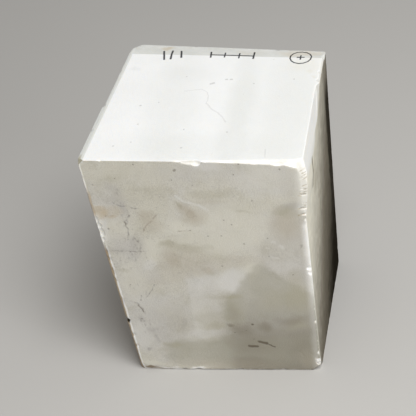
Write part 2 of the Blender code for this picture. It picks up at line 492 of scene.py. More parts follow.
def scallop_shape(arris, chip):
    """Centre and axes of an ellipsoid across an arris. In section it is an arc from one face to the other
    about a centre outside the stone, and it is stretched until its mouth has the chip's length."""
    first, second, third = arris
    out, other = FACES[first][0], FACES[second][0]
    along = np.cross(out, other)
    along /= np.linalg.norm(along)
    side = np.cross(along, out)
    mouth = np.array((chip.over_second, chip.over_first))
    lift = SCALLOP_LIFT * np.linalg.norm(mouth)
    centre = -mouth / 2 + mouth[::-1] / np.linalg.norm(mouth) * lift
    radius = math.hypot(lift, np.linalg.norm(mouth) / 2)
    half_length = chip.half_length / math.sqrt(1 - centre @ centre / radius**2)
    spot = place(**{first: 0, second: 0, third: chip.along}) + out * centre[0] + side * centre[1]
    return spot, np.stack((out / radius, side / radius, along / half_length)), max(radius, half_length)


def share_to_scallop(way, spot, axes):
    """The nearer meeting of the way with an ellipsoid, in the ellipsoid's own axes: the smaller root of
    |start + share * step| = 1."""
    start, step = axes @ (MIDDLE - spot), way @ axes.T
    squared, dotted = np.sum(step * step, axis=1), step @ start
    under_root = dotted**2 - squared * (start @ start - 1)
    return np.where(under_root > 0, (-dotted - np.sqrt(np.maximum(under_root, 0))) / squared, np.inf)


def scattered():
    """Lesser scallops, drawn one after another along every arris."""
    draw = np.random.default_rng(SCATTER_SEED)
    for scatter, (arris, (start, end)) in itertools.product(SCATTERS, ARRISES.items()):
        along = start + draw.uniform(*scatter["spacing"])
        while along < end:
            half_length = draw.uniform(*scatter["half_length"])
            reach = half_length * draw.uniform(*scatter["reach"], size=2)
            yield arris, Scallop(along, half_length, *reach)
            along += draw.uniform(*scatter["spacing"])


def all_scallops():
    """Every scallop with its arris: the placed chips, the creases and the scatter."""
    placed = [(arris, chip) for arris, chips in CHIPS.items() for chip in chips]
    return placed + [(("front", "right", "base"), crease) for crease in CREASES] + list(scattered())


def stone_surface(on_cube):
    """Every point of the cube's net carried onto the stone: first onto the flat faces, then back towards
    the middle by the least share that any cut, flake, worn arris or scallop leaves of the way. Last it sinks
    by the grain, as far as it is broken, or by the swell, except on the foot, which stays level."""
    flat = between_corners(on_cube)
    way = flat - MIDDLE
    share = np.ones(len(flat))
    for places in CUTS.values():
        share = np.minimum(share, share_to_plane(way, *cut_plane(places)))
    for beds in FLAKES.values():
        share = np.minimum(share, share_to_flake(way, beds))
    uneven = two_noises(flat, WEAR_CELLS, WEAR_SEED)
    for (first, second, third), (start, _) in ARRISES.items():
        normal = FACES[first][0] + FACES[second][0]
        along = FACES[third][1] - flat @ FACES[third][0]
        width = np.where(along < start, CRISP_WIDTH, WEAR_WIDTH)
        offset = FACES[first][1] + FACES[second][1] - width * (1 + 2 * WEAR_UNEVENNESS * uneven)
        share = np.minimum(share, share_to_plane(way, normal, offset))
    for arris, chip in all_scallops():
        spot, axes, size = scallop_shape(arris, chip)
        near = np.linalg.norm(flat - spot, axis=1) < SCALLOP_REACH * size
        share[near] = np.minimum(share[near], share_to_scallop(way[near], spot, axes))
    length = np.linalg.norm(way, axis=1)
    broken = np.minimum((1 - share) * length / GRAIN_FULL_DEPTH, 1)
    sunk = GRAIN * broken * (1 + two_noises(flat, GRAIN_CELLS, GRAIN_SEED))
    on_saw_cut = (1 - broken) * (on_cube[:, 2] > 0)
    sunk += SWELL * on_saw_cut * (1 + two_noises(flat, SWELL_CELLS, SWELL_SEED)) / 2
    return MIDDLE + way * (share - sunk / length)[:, None]


net = cube_net()
stone_mesh = bpy.data.meshes.new("marble_block_stone")
stone_mesh.from_pydata(stone_surface(net.points) * MM, [], net.quads.tolist() + net.triangles.tolist())
stone_mesh.polygons.foreach_set("use_smooth", np.ones(len(stone_mesh.polygons), dtype=bool))
stone_mesh.update()
stone = bpy.data.objects.new("marble_block_stone", stone_mesh)
bpy.context.scene.collection.objects.link(stone)


class Wire:
    """A shader socket that can stand in a sum: each operator adds a Math node."""

    def __init__(self, recipe, socket):
        self.recipe = recipe
        self.socket = socket

    def maths(self, operation, *values):
        return self.recipe.add("Math", {"operation": operation}, dict(enumerate(values)))

    def __add__(self, other):
        return self.maths("ADD", self, other)

    def __radd__(self, other):
        return self.maths("ADD", other, self)

    def __sub__(self, other):
        return self.maths("SUBTRACT", self, other)

    def __rsub__(self, other):
        return self.maths("SUBTRACT", other, self)

    def __mul__(self, other):
        return self.maths("MULTIPLY", self, other)

    def __rmul__(self, other):
        return self.maths("MULTIPLY", other, self)

    def least(self, other):
        return self.maths("MINIMUM", self, other)

    def most(self, other):
        return self.maths("MAXIMUM", self, other)

    def held(self):
        """Kept from 0 to 1."""
        return self.recipe.add("Clamp", {}, {"Value": self})

    def eased(self, low, high, top=1.0):
        """0 at low and top at high, eased at both ends; low may be the greater."""
        sockets = {"Value": self, "From Min": low, "From Max": high, "To Max": top}
        return self.recipe.add("MapRange", {"interpolation_type": "SMOOTHSTEP"}, sockets)


class Recipe:
    """The nodes of one material."""

    def __init__(self, name):
        self.material = bpy.data.materials.new(name)
        self.material.use_nodes = True
        self.nodes = self.material.node_tree.nodes
        self.nodes.clear()

    def add(self, kind, settings, sockets, output=0):
        """Adds a node: its settings first, then a value or a link for each socket, by name or number."""
        node = self.nodes.new("ShaderNode" + kind)
        for name, setting in settings.items():
            setattr(node, name, setting)
        for key, given in sockets.items():
            if isinstance(given, Wire):
                self.material.node_tree.links.new(given.socket, node.inputs[key])
            else:
                node.inputs[key].default_value = given
        return Wire(self, node.outputs[output]) if node.outputs else None

    def vector(self, operation, *vectors, output=0, **sockets):
        """A Vector Math node."""
        return self.add("VectorMath", {"operation": operation}, dict(enumerate(vectors)) | sockets, output)

    def dot(self, one, other):
        """How far one vector reaches along the other."""
        return self.vector("DOT_PRODUCT", one, other, output="Value")

    def mix(self, share, below, above):
        """One colour over another."""
        return self.add("Mix", {"data_type": "RGBA"}, {0: share, 6: below, 7: above}, output=2)


marble = Recipe("marble")
place_mm = marble.vector("SCALE", marble.add("TexCoord", {}, {}, output="Object"), Scale=1 / MM)


def noise(where, cell, detail=2.0):
    """Cloudy noise from 0 to 1, with features about one cell across."""
    sockets = {"Vector": where, "Scale": 1 / cell, "Detail": detail, "Roughness": 0.55}
    return marble.add("TexNoise", {"noise_dimensions": "3D"}, sockets)


def drifted(cell, drift, detail=2.0):
    """The place, pushed about by noise, so that what is laid out on it has wandering edges."""
    sockets = {"Vector": place_mm, "Scale": 1 / cell, "Detail": detail, "Roughness": 0.58}
    pushed = marble.add("TexNoise", {"noise_dimensions": "3D"}, sockets, output="Color")
    centred = marble.vector("SUBTRACT", pushed, (0.5, 0.5, 0.5))
    return marble.vector("ADD", place_mm, marble.vector("SCALE", centred, Scale=2 * drift))


cloud_place = drifted(cell=26, drift=10, detail=6.0)
vein_place = drifted(cell=6, drift=1.6, detail=4.0)
hand_place = drifted(cell=9, drift=0.5)


def inside(face):
    """How many mm inside a face."""
    normal, offset = FACES[face]
    return float(offset) - marble.dot(place_mm, normal)


def on_face(face, across, up):
    """The point of a face at these two coordinates: x and z, y and z, or x and y on the top and the base."""
    first, second, third, *_ = FACE_AXES[face]
    normal, offset = FACES[face]
    point = np.zeros(3)
    point[[first, second]] = across, up
    point[third] = (offset - normal @ point) / normal[third]
    return point


def past_line(face, start, end, where=cloud_place):
    """How many mm to the right of a line drawn on a face, seen from outside, going from start to end."""
    start, end = on_face(face, *start), on_face(face, *end)
    right = np.cross(end - start, FACES[face][0])
    right /= np.linalg.norm(right)
    return marble.dot(where, right) - float(right @ start)


def clouds(face, *places, depth=14, softness=0.45):
    """Soft clouds, each an ellipsoid about a point of a face: across and up, half width and half height,
    degrees that it is turned in the face, and strength. All are as deep. A gradient falls evenly from 1 at
    the middle of each to 0 at its rim, and is then eased."""
    total = 0
    first, second, third, *_ = FACE_AXES[face]
    for across, up, half_width, half_height, degrees, strength in places:
        size, turn = np.zeros(3), np.zeros(3)
        size[[first, second, third]] = half_width, half_height, depth
        turn[third] = math.radians(degrees) * (-1 if third == 1 else 1)
        sockets = {"Vector": cloud_place, "Location": on_face(face, across, up), "Rotation": turn}
        local = marble.add("Mapping", {"vector_type": "TEXTURE"}, sockets | {"Scale": size * (1 + softness)})
        fall = marble.add("TexGradient", {"gradient_type": "SPHERICAL"}, {"Vector": local}, output=1)
        total = fall.eased(0, 2 * softness / (1 + softness), strength) + total
    return total


def clouded(below, tone, face, *places, **form):
    """A colour with clouds of a tone over it."""
    return marble.mix(clouds(face, *places, **form), below, tone)


def drawn(face, *lines, where=vein_place, edge=0.5):
    """Lines on a face, each a half width in mm and its points; a lone point is a dot. For every stretch the
    nearest point of the line is found, and the distance to it, in half widths, is eased from 1 to 0."""
    normal, offset = FACES[face]
    height = marble.dot(where, normal) - float(offset)
    flat = marble.vector("SUBTRACT", where, marble.vector("SCALE", normal, Scale=height))
    least = 1000
    for half_width, *points in lines:
        points = [on_face(face, *point) for point in points]
        for start, end in zip(points, points[1:] or points):
            step = end - start
            nearest = start
            if step.any():
                part = marble.dot(flat, step / (step @ step)) - float(start @ step / (step @ step))
                nearest = marble.vector("ADD", marble.vector("SCALE", step, Scale=part.held()), start)
            far = marble.vector("DISTANCE", flat, nearest, output="Value")
            least = (far * (1 / half_width)).least(least)
    return least.eased(1 + edge, 1 - edge) * height.eased(-6, -5)


# The marble itself: grey and beige tones that drift into one another, with a fine crystalline grain.
BEIGE = (0.585, 0.563, 0.482, 1)
COOL_GREY = (0.58, 0.562, 0.518, 1)
PALE = (0.665, 0.645, 0.565, 1)
ICE = (0.655, 0.642, 0.605, 1)
BLUSH = (0.475, 0.43, 0.35, 1)
OLIVE = (0.41, 0.385, 0.295, 1)
SLATE = (0.43, 0.41, 0.385, 1)
DUSK = (0.365, 0.35, 0.287, 1)
UMBER = (0.22, 0.196, 0.152, 1)
TAN = (0.52, 0.435, 0.31, 1)
VEIN_GREY = (0.22, 0.20, 0.185, 1)
RUST = (0.24, 0.17, 0.12, 1)
EARTH = (0.22, 0.165, 0.11, 1)
DARK_SPOT = (0.13, 0.108, 0.08, 1)
BRUISED_AND_GLOW_WHITE = (0.95, 0.945, 0.925, 1)

slow = noise(place_mm, 75, detail=3.0)
middling = noise(cloud_place, 15, detail=5.0)
fine = noise(place_mm, 1.6, detail=3.0)
colour = marble.mix(slow.eased(0.35, 0.65), BEIGE, COOL_GREY)
colour = marble.mix(middling.eased(0.45, 0.8, 0.45), colour, PALE)
colour = marble.mix(middling.eased(0.5, 0.2, 0.4), colour, OLIVE)
colour = marble.mix(fine.eased(0.55, 0.25, 0.5), colour, SLATE)
colour = marble.mix(fine.eased(0.5, 0.75, 0.5), colour, ICE)

# The front: seams with straight edges part the paler stone from the darker.
front_only = inside("front").eased(30, 10)
height = marble.dot(cloud_place, (0, 0, 1))
across = marble.dot(cloud_place, (1, 0, 0))
dark_seam = past_line("front", (-3, 0), (3, 112)).eased(-8, 13)
dark_seam *= past_line("front", (1, 112), (56, 184)).eased(-4, 5)
dark_seam *= past_line("front", (60, 181), (112, 136)).eased(-3, 8)
grey_seam = past_line("front", (57, 180), (82, 262)).eased(-3, 4)
grey_seam *= past_line("front", (80, 266), (120, 276)).eased(-3, 4)
low_seam = past_line("front", (-86, 53), (10, 58)).eased(-5, 10)
low_seam *= past_line("front", (-84, 0), (-84, 60)).eased(-6, 8)
band = past_line("front", (-60, 222), (58, 187)).eased(-4, 8)
band *= past_line("front", (60, 178), (-30, 157)).eased(-3, 5)
band *= past_line("front", (-84, 150), (-52, 214)).eased(-8, 10)
left_seam = past_line("front", (-38, 60), (-38, 158)).eased(-1, 2.5)
left_seam *= past_line("front", (10, 158), (-60, 158)).eased(10, -6)
shade = marble.mix(grey_seam * front_only * 0.26, colour, SLATE)
colour = marble.mix(band * front_only * 0.24, shade, BLUSH)
colour = marble.mix(left_seam * front_only * across.eased(10, -25) * height.eased(50, 80) * 0.35, colour, ICE)

# Between the seams lie clouds of paler, darker and warmer stone.
colour = clouded(
    colour,
    PALE,
    "front",
    (20, 232, 58, 34, 5, 0.6),
    (-104, 236, 20, 20, 0, 0.5),
    (-72, 200, 11, 26, -30, 0.7),
    (-40, 240, 20, 12, 0, 0.45),
    (48, 172, 14, 8, 40, 0.5),
    (-104, 156, 14, 34, 0, 0.5),
    (-60, 322, 60, 14, 0, 0.2),
    (-106, 12, 18, 6, 0, 0.7),
    (-60, 7, 26, 4, 0, 0.4),
)
colour = clouded(
    colour,
    ICE,
    "front",
    (86, 306, 34, 22, 0, 0.4),
    (19, 327, 15, 6, -8, 0.8),
    (22, 154, 20, 14, 40, 0.8),
    (-8, 148, 28, 12, 5, 0.5),
    (-25, 66, 24, 8, 0, 0.45),
    (-110, 62, 14, 22, 0, 0.6),
    (-78, 180, 7, 12, -40, 0.6),
    (84, 174, 16, 10, 0, 0.3),
    (80, 213, 3, 2, 20, 0.5),
    (88, 207, 2, 3, 0, 0.5),
    (73, 203, 3, 2, 0, 0.4),
    (78, 190, 4, 2, 0, 0.4),
    (-122, 240, 7, 26, 0, 0.7),
    (-86, 120, 26, 12, 0, 0.3),
)
colour = marble.mix(dark_seam * front_only * 0.5, colour, DUSK)
# The front is darker towards its foot, from about 40 mm left of the middle to the right.
colour = marble.mix(height.eased(135, 35) * across.eased(-40, 25) * front_only * 0.64, colour, UMBER)
colour = marble.mix(low_seam * height.eased(2, 26) * front_only * 0.55, colour, DUSK)
colour = clouded(
    colour,
    SLATE,
    "front",
    (-99, 296, 6, 7, 0, 0.3),
    (-95, 282, 8, 16, 0, 0.25),
    (-112, 281, 16, 5, 0, 0.15),
    (-92, 268, 6, 8, 0, 0.45),
    (-86, 208, 9, 18, 0, 0.3),
    (-110, 203, 16, 5, 0, 0.35),
    (-100, 218, 16, 12, 0, 0.18),
    (-72, 84, 28, 36, 0, 0.24),
    (-104, 36.5, 3, 2.6, 0, 0.8),
    (-95, 71, 4, 5, 0, 0.45),
    (-91, 57, 2.0, 8, 0, 0.45),
    (-105, 90, 4, 6, 0, 0.45),
    (-4, 322, 70, 12, 8, 0.15),
    (106, 300, 14, 22, 0, 0.2),
    (106, 267, 10, 8, 10, 0.5),
    (78, 82, 22, 7, 8, 0.3),
    (-52, 82, 4, 8, -20, 0.4),
    softness=0.7,
)
colour = clouded(
    colour,
    BLUSH,
    "front",
    (-66, 254, 9, 9, 0, 0.5),
    (-60, 240, 12, 8, 20, 0.35),
    (-10, 253, 12, 11, 0, 0.55),
    (-20, 266, 7, 12, 35, 0.6),
    (-46, 188, 8, 12, 0, 0.5),
    (98, 240, 18, 20, 0, 0.6),
    (-30, 180, 22, 12, 0, 0.25),
    (12, 277, 22, 3, 0, 0.3),
    (-6, 172, 6, 5, 0, 0.4),
    (-20, 10, 60, 8, 0, 0.35),
    (98, 20, 12, 14, 0, 0.3),
    softness=0.7,
)
colour = clouded(
    colour,
    OLIVE,
    "front",
    (10, 287, 18, 6, 0, 0.32),
    (34, 289, 12, 6, 0, 0.25),
    (-52, 211, 9, 5, 10, 0.5),
    (-28, 206, 16, 7, -12, 0.4),
    (96, 264, 15, 6, 12, 0.4),
    (100, 257, 14, 6, 0, 0.3),
    (-74, 45, 11, 5, 0, 0.4),
    (-60, 42, 16, 8, 0, 0.25),
    (-58, 82, 14, 16, 0, 0.25),
    (-14, 77, 14, 7, 0, 0.45),
    (0, 127, 14, 4, 0, 0.3),
    (20, 127, 9, 4, 10, 0.35),
    (50, 261, 10, 2, 0, 0.3),
    (-70, 288, 34, 12, 0, 0.15),
    (-108, 304, 28, 8, 45, 0.1),
    (-80, 322, 30, 6, 40, 0.15),
    (-26, 273, 2, 7, 25, 0.5),
    (90, 82, 14, 10, 0, 0.5),
    (64, 122, 12, 16, 0, 0.3),
    (-17, 92, 22, 10, 0, 0.25),
    (14, 108, 14, 24, 0, 0.5),
    (96, 126, 18, 22, 0, 0.6),
    (100, 158, 12, 10, 0, 0.3),
    (-113, 171, 7, 3, 0, 0.3),
    (-4, 207, 10, 3, 0, 0.2),
    softness=0.6,
)
colour = clouded(
    colour,
    UMBER,
    "front",
    (6, 80, 4, 3, 0, 0.6),
    (18, 72, 13, 9, 0, 0.45),
    (14, 100, 8, 14, 0, 0.2),
    (49, 76, 9, 7, 0, 0.45),
    (86, 86, 16, 8, 10, 0.4),
    (30, 47, 30, 14, 0, 0.25),
    (92, 40, 16, 24, 0, 0.25),
    (20, 14, 26, 9, 0, 0.25),
    (112, 207, 1.6, 3.5, -15, 0.4),
    (-122, 303, 1.4, 1.4, 0, 0.5),
    depth=8,
    softness=0.7,
)
tan_patch = past_line("front", (-130, 273.5), (-98, 272)).eased(-1, 1.5)
tan_patch *= clouds(
    "front",
    (-124, 265, 9, 9, 0, 0.5),
    (-110, 264, 16, 7, 0, 0.25),
    (-109, 258, 5, 2, 0, 0.3),
)
colour = marble.mix(tan_patch, colour, TAN)

# Dark flecks at the hearts of the crystals where the stone is veined, and hairlines where a noise crosses
# its middle.
stretched = marble.vector("MULTIPLY", vein_place, (1.0, 1.0, 0.5))
crystals = marble.add("TexVoronoi", {}, {"Vector": stretched, "Scale": 1 / 4.5, "Randomness": 1.0})
fleck_zone = clouds(
    "front",
    (-88, 210, 12, 34, 0, 1.0),
    (-110, 184, 14, 22, 0, 0.45),
    (-104, 92, 7, 20, 0, 1.0),
    (-94, 66, 7, 16, 0, 0.9),
    (-95, 276, 8, 24, 0, 0.9),
    (-92, 138, 18, 16, 0, 0.6),
    (-56, 80, 10, 14, 0, 0.5),
    (84, 206, 14, 14, 0, 0.5),
    (-66, 246, 10, 12, 0, 0.6),
    softness=0.6,
)
colour = marble.mix(crystals.eased(0.38, 0.12) * fleck_zone * 0.33, colour, VEIN_GREY)
broken_up = noise(place_mm, 4.0, detail=3.0).eased(0.38, 0.62)
fissure = noise(cloud_place, 24, detail=5.0) - 0.5
fissure = fissure.most(0 - fissure).eased(0.02, 0.0, 0.24) * broken_up * across.eased(20, -30)
fissure *= height.eased(120, 170) * height.eased(305, 275)
colour = marble.mix(fissure * front_only, colour, UMBER)

# The veins, specks and pits that can be told apart.
white_vein = drawn("front", (1.6, (-25, 286), (-20, 279), (-11, 275.5), (0, 271), (9, 264)), edge=0.9)
colour = marble.mix(white_vein * (0.35 + broken_up * 0.5), colour, ICE)
dark_veins = drawn(
    "front",
    (1.0, (-102, 277), (-94, 273), (-87, 272.5), (-80, 269), (-73, 268)),
    (1.0, (-87, 258), (-92, 250)),
    (2.2, (-92.5, 249), (-94, 244)),
    (0.9, (-94, 243), (-92, 237), (-93, 230), (-96, 221)),
    (0.9, (-88, 226), (-86, 220), (-82, 214), (-83, 203), (-86, 197)),
    (1.3, (-122, 203.5), (-112, 203), (-104, 203)),
    (0.5, (-104, 203), (-92, 202), (-77, 202)),
    (0.9, (-97, 130), (-99, 122)),
    (0.7, (-77, 148), (-84, 136), (-94, 124)),
    (1.5, (-105, 117), (-102, 112), (-98, 101)),
    (0.8, (-112, 121), (-105, 117)),
    (1.2, (-106, 91)),
    (1.2, (-102, 87)),
    edge=0.85,
)
colour = marble.mix(dark_veins * (0.06 + broken_up * 0.5), colour, VEIN_GREY)
red_veins = drawn(
    "front",
    (0.9, (-75, 233), (-68.5, 243), (-60, 250.5)),
    (0.8, (-59, 252), (-53, 259)),
    (0.7, (-76, 262), (-70, 256)),
    (0.6, (-34, 232.5), (-18, 233)),
    (0.8, (-116, 258), (-106, 258.5)),
    edge=0.85,
)
colour = marble.mix(red_veins * (0.08 + broken_up * 0.34), colour, RUST)
specks = drawn(
    "front",
    (1.0, (-67, 333)),
    (1.4, (-20.5, 323), (-19.5, 324)),
    (0.8, (-93, 314)),
    (0.9, (-26, 309.5)),
    (0.7, (-3, 301)),
    (1.2, (-116, 238.5)),
    (1.0, (-17, 233)),
    (0.9, (2.5, 224)),
    (0.9, (19, 224)),
    (1.0, (25.5, 248)),
    (1.0, (34, 241)),
    (1.0, (55, 330)),
    (1.2, (101, 321)),
    (0.9, (47, 315)),
    (1.0, (63, 276)),
    (1.1, (44, 211.5)),
    (0.9, (73, 219.5)),
    (0.9, (71, 191)),
    (1.0, (12, 177)),
    (1.0, (96, 162)),
    (0.9, (-107, 148)),
    (0.9, (26, 70)),
    (0.9, (11, 67)),
    (1.0, (-104, 114), (-101.5, 109), (-99, 102)),
    (0.9, (-94, 248), (-93.5, 244)),
    (1.1, (-104, 91)),
    (1.0, (33.5, 55)),
)
colour = marble.mix(specks * 0.5, colour, DARK_SPOT)
pits = drawn(
    "front",
    (1.6, (35, 80)),
    (2.3, (40, 50.5), (48.5, 48)),
    (1.8, (25.5, 43), (36, 42.5)),
    (0.9, (51, 46), (58, 41.5)),
)
colour = marble.mix(pits * 0.82, colour, DARK_SPOT)

# The right side is creamy, and is painted darker away from the front and the top: a painted shade.
CREAM = (0.77, 0.74, 0.625, 1)
PAINTED_SHADE_BROWN = (0.13, 0.116, 0.09, 1)
PAINTED_SHADE_BLACK = (0.012, 0.010, 0.007, 1)
FLAKE_GREY = (0.735, 0.74, 0.73, 1)
FLAKE_END = (0.50, 0.495, 0.465, 1)
right_only = inside("right").eased(12, 6) * inside("front").eased(0.5, 3)
back_way = marble.dot(cloud_place, (0, 1, -0.6)) + middling * 60
colour = marble.mix(right_only, colour, marble.mix(middling.eased(0.3, 0.7, 0.3), CREAM, PALE))
right_streaks = drawn("right", (9.0, (-52, 275), (-48, 250)), edge=0.95)
right_streaks = right_streaks.most(drawn("right", (3.5, (-12, 158), (-10, 126)), edge=0.9)) * 0.5
right_streaks = right_streaks.most(clouds("right", (-42, 270, 26, 26, 0, 0.2), depth=20))
colour = marble.mix(right_streaks * 0.9, colour, OLIVE)
# Painted shade over the right side: brown towards its back and foot, then near black there and along its back
# edge.
colour = marble.mix(right_only * back_way.eased(-265, -45), colour, PAINTED_SHADE_BROWN)
back_edge_shade = (inside("back") + middling * 20).eased(50, 34)
back_edge_shade *= inside("top").eased(10, 60, 0.9).most(clouds("right", (48, 322, 26, 30, 0, 0.2)))
colour = marble.mix(right_only * back_way.eased(-72, 68).most(back_edge_shade), colour, PAINTED_SHADE_BLACK)
flake_foot = clouds("right", (-70, 307, 34, 9, 0, 0.8), depth=20) * right_only
colour = marble.mix(flake_foot, colour, FLAKE_GREY)
# A painted shadow along the edge of a flake on the right side.
flake_edge_shadow = drawn("right", (3.2, (-69, 298), (-65.4, 277), (-62.2, 256)), edge=0.6)
colour = marble.mix(flake_edge_shadow * 0.85, colour, UMBER)

# The back is sawn and faintly veined, and the painted shade of the right side thins out over its edge.
back_only = inside("back").eased(4, 2)
vein = noise(cloud_place, 60, detail=4.0) - 0.5
vein = vein.most(0 - vein).eased(0.016, 0.0) * (0.05 + broken_up * 0.25)
colour = marble.mix(vein * back_only, colour, VEIN_GREY)
from_right = inside("right") + middling * 40
# Painted shade, brown then near black, fading in from the right back arris.
colour = marble.mix(from_right.eased(95, 30, 0.9) * back_only, colour, PAINTED_SHADE_BROWN)
colour = marble.mix(from_right.eased(55, 15, 0.95) * back_only, colour, PAINTED_SHADE_BLACK)

# The top, painted whiter than the rest: a painted highlight for the light that falls on it from above.
PAINTED_LIGHT_WHITE = (0.79, 0.795, 0.79, 1)
GREEN_GREY = (0.70, 0.708, 0.69, 1)
OLD_WHITE = (0.66, 0.62, 0.50, 1)
HAIRLINE_GREY = (0.22, 0.21, 0.20, 1)
top_colour = marble.mix(slow.eased(0.3, 0.7, 0.3), PAINTED_LIGHT_WHITE, GREEN_GREY)
top_colour = clouded(
    top_colour,
    GREEN_GREY,
    "top",
    (-38, -20, 26, 110, 0, 0.5),
    (42, -20, 15, 100, 0, 0.9),
    (104, -30, 44, 110, 0, 0.9),
    (-30, 45, 40, 14, 0, 0.25),
    (-96, 54, 6, 3, 0, 0.5),
    (0, -96, 90, 24, 0, 0.6),
    depth=40,
    softness=0.8,
)
top_colour = clouded(
    top_colour,
    OLD_WHITE,
    "top",
    (112, 62, 22, 14, 0, 0.25),
    (121, 48, 3, 4, 0, 0.25),
    (125, 38, 3, 2, 0, 0.3),
    softness=0.8,
)
top_lines = drawn(
    "top",
    (1.4, (1, 24.5), (5, 26)),
    (1.0, (18, 33), (20, 33)),
    (1.0, (24, 33), (26, 33)),
    (1.4, (-77, -18)),
    (1.0, (-56, -11.5)),
    (1.0, (-73, -53)),
    (1.3, (-95, -93)),
    (1.0, (-75, -86)),
    (1.1, (-16.5, -62)),
    (1.0, (35, -66)),
    (1.2, (-14, -95)),
    (1.1, (54, 25)),
    (0.9, (-30, 39)),
    (1.0, (101, 34)),
    (1.1, (77, -118)),
)
top_colour = marble.mix(top_lines * 0.34, top_colour, HAIRLINE_GREY)
faint_lines = drawn(
    "top",
    (0.6, (-28, 10), (-18, 12), (-8, 14), (-2, 10), (2, 2), (3, -6), (2, -13)),
    (0.9, (2, -13), (10, -24), (19, -31), (26, -40), (30, -48)),
    (0.7, (83, -96), (84.5, -110)),
    (0.8, (87, 1)),
    (0.8, (44, 4)),
    (0.8, (45, -25)),
    (0.9, (72, 73)),
)
top_colour = marble.mix(faint_lines * 0.16, top_colour, HAIRLINE_GREY)
colour = marble.mix(inside("top").eased(0.9, 0.4), colour, top_colour)

# The dressed margins of the top.
MARGIN_GREY = (0.58, 0.585, 0.555, 1)
LEFT_MARGIN_GREY = (0.63, 0.64, 0.61, 1)
near_top = inside("top").eased(5, 3)
back_margin = past_line("top", (-104, 85.5), (122, 75.5), place_mm).eased(0.4, -0.4) * near_top
left_margin = past_line("top", (-124.0, -98), (-108.0, 76), place_mm).eased(0.4, -0.4) * near_top
margin_grey = marble.mix(middling.eased(0.3, 0.7, 0.35), MARGIN_GREY, GREEN_GREY)
margin_tan = clouds("top", (-65, 99, 9, 4, 0, 0.6), (105, 86, 26, 6, 0, 0.35), (40, 88, 14, 6, 0, 0.12))
colour = marble.mix(back_margin, colour, marble.mix(margin_tan, margin_grey, TAN))
colour = marble.mix(left_margin, colour, LEFT_MARGIN_GREY)

# Broken stone is bruised white; a painted glow lightens the sound stone just behind the right front arris.
BREAK_SHADE = (0.78, 0.76, 0.70, 1)
HEAD_SHADE = (0.70, 0.685, 0.63, 1)
PAINTED_GLOW_WHITE = (0.97, 0.945, 0.88, 1)
CREASE_SHADE_BROWN = (0.36, 0.31, 0.22, 1)


def inside_plane(places):
    """How many mm inside a cut or a flake's plane."""
    normal, offset = cut_plane(places)
    return float(offset) - marble.dot(place_mm, normal)


sunk = inside("front").least(inside("right")).least(inside("left"))
sunk = sunk.least(inside("back")).least(inside("top")).least(inside("base"))
bed, end = (inside_plane(places) for places in FLAKES["flake down the right front arris"])
off_flake = bed.eased(0.5, 1.0).most(end.eased(0, 1))
broken = sunk.eased(0.25, 0.7) * off_flake * (1 - back_margin) * (1 - left_margin)
broken *= 1 - inside("back").eased(30, 10) * inside("right").eased(30, 10) * inside("top").eased(6, 20, 0.9)
break_colour = marble.mix(middling.eased(0.35, 0.65), BREAK_SHADE, BRUISED_AND_GLOW_WHITE)
stripes = noise(marble.vector("MULTIPLY", place_mm, (1.0, 0.06, 1.0)), 3.0)
flake_colour = marble.mix(stripes.eased(0.35, 0.65, 0.6), FLAKE_GREY, BREAK_SHADE)
bed, end = (inside_plane(places) for places in FLAKES["flake under the right margin"])
strip = bed.eased(0.8, 0.4).most(inside("right").eased(8, 7) * inside("top").eased(34, 31))
break_colour = marble.mix(strip * inside("front").eased(6, 12), break_colour, flake_colour)
ran_out = bed.eased(-0.1, -0.7) * end.eased(-2.0, -1.2) * end.eased(1.0, 0.6)
break_colour = marble.mix(ran_out.most(end.eased(1, 3, 0.5)) * strip, break_colour, FLAKE_END)
colour = marble.mix(broken, colour, break_colour)
front_edge = inside("front").eased(6, 2)
# A painted glow along the right front arris, strongest from about 200 to 240 mm up.
glow = (inside("right") + middling * 6).eased(16, 5) * height.eased(250, 236, 0.85)
glow *= height.eased(60, 200).most(0.25)
colour = marble.mix(glow * front_edge, colour, BRUISED_AND_GLOW_WHITE)
# A painted glow, greyer than the bruise, spreads from the head of the crushed stretch into the front.
head_glow = (inside("right") + middling * 12).eased(24, 10) * height.eased(246, 262, 0.9)
colour = marble.mix(head_glow * front_edge, colour, HEAD_SHADE)
# A painted highlight whitens the chips of the left front arris, from about 210 to 265 mm up, and a thin line
# down it.
left_glow = (inside("left") + middling * 8).eased(15, 8) * height.eased(266, 258)
left_glow *= height.eased(206, 222, 0.85)
left_line = inside("left").eased(3.4, 1.6, 0.9) * inside("front").eased(2.8, 1.4) * inside("top").eased(3, 6)
left_glow = (left_glow * (0.4 + sunk.eased(0.4, 1.2) * 0.6) * front_edge).most(left_line)
colour = marble.mix(left_glow, colour, PAINTED_GLOW_WHITE)
# Darker along the right front arris below about 160 mm, except in the deeper chips.
darker_arris_strip = inside("right").eased(4.5, 1.5) * height.eased(160, 70, 0.6) * front_edge * sunk.eased(2.0, 1.0)
colour = marble.mix(darker_arris_strip, colour, DUSK)
nicked_corner = clouds("front", (-131, 340, 9, 8, 0, 0.95), depth=11) * sunk.eased(0.2, 0.6)
colour = marble.mix(nicked_corner, colour, OLIVE)
colour = clouded(
    colour,
    BRUISED_AND_GLOW_WHITE,
    "front",
    (-46, 5, 8, 3, 0, 0.7),
    (-78, 4, 6, 2, 0, 0.5),
    (109, 16, 4, 6, 0, 0.6),
    depth=9,
)
colour = clouded(
    colour,
    EARTH,
    "front",
    (-110, 3, 11, 3.5, 0, 0.9),
    (-90, 2, 12, 2, 0, 0.5),
    (20, 0, 70, 1.5, 0, 0.5),
    depth=6,
)
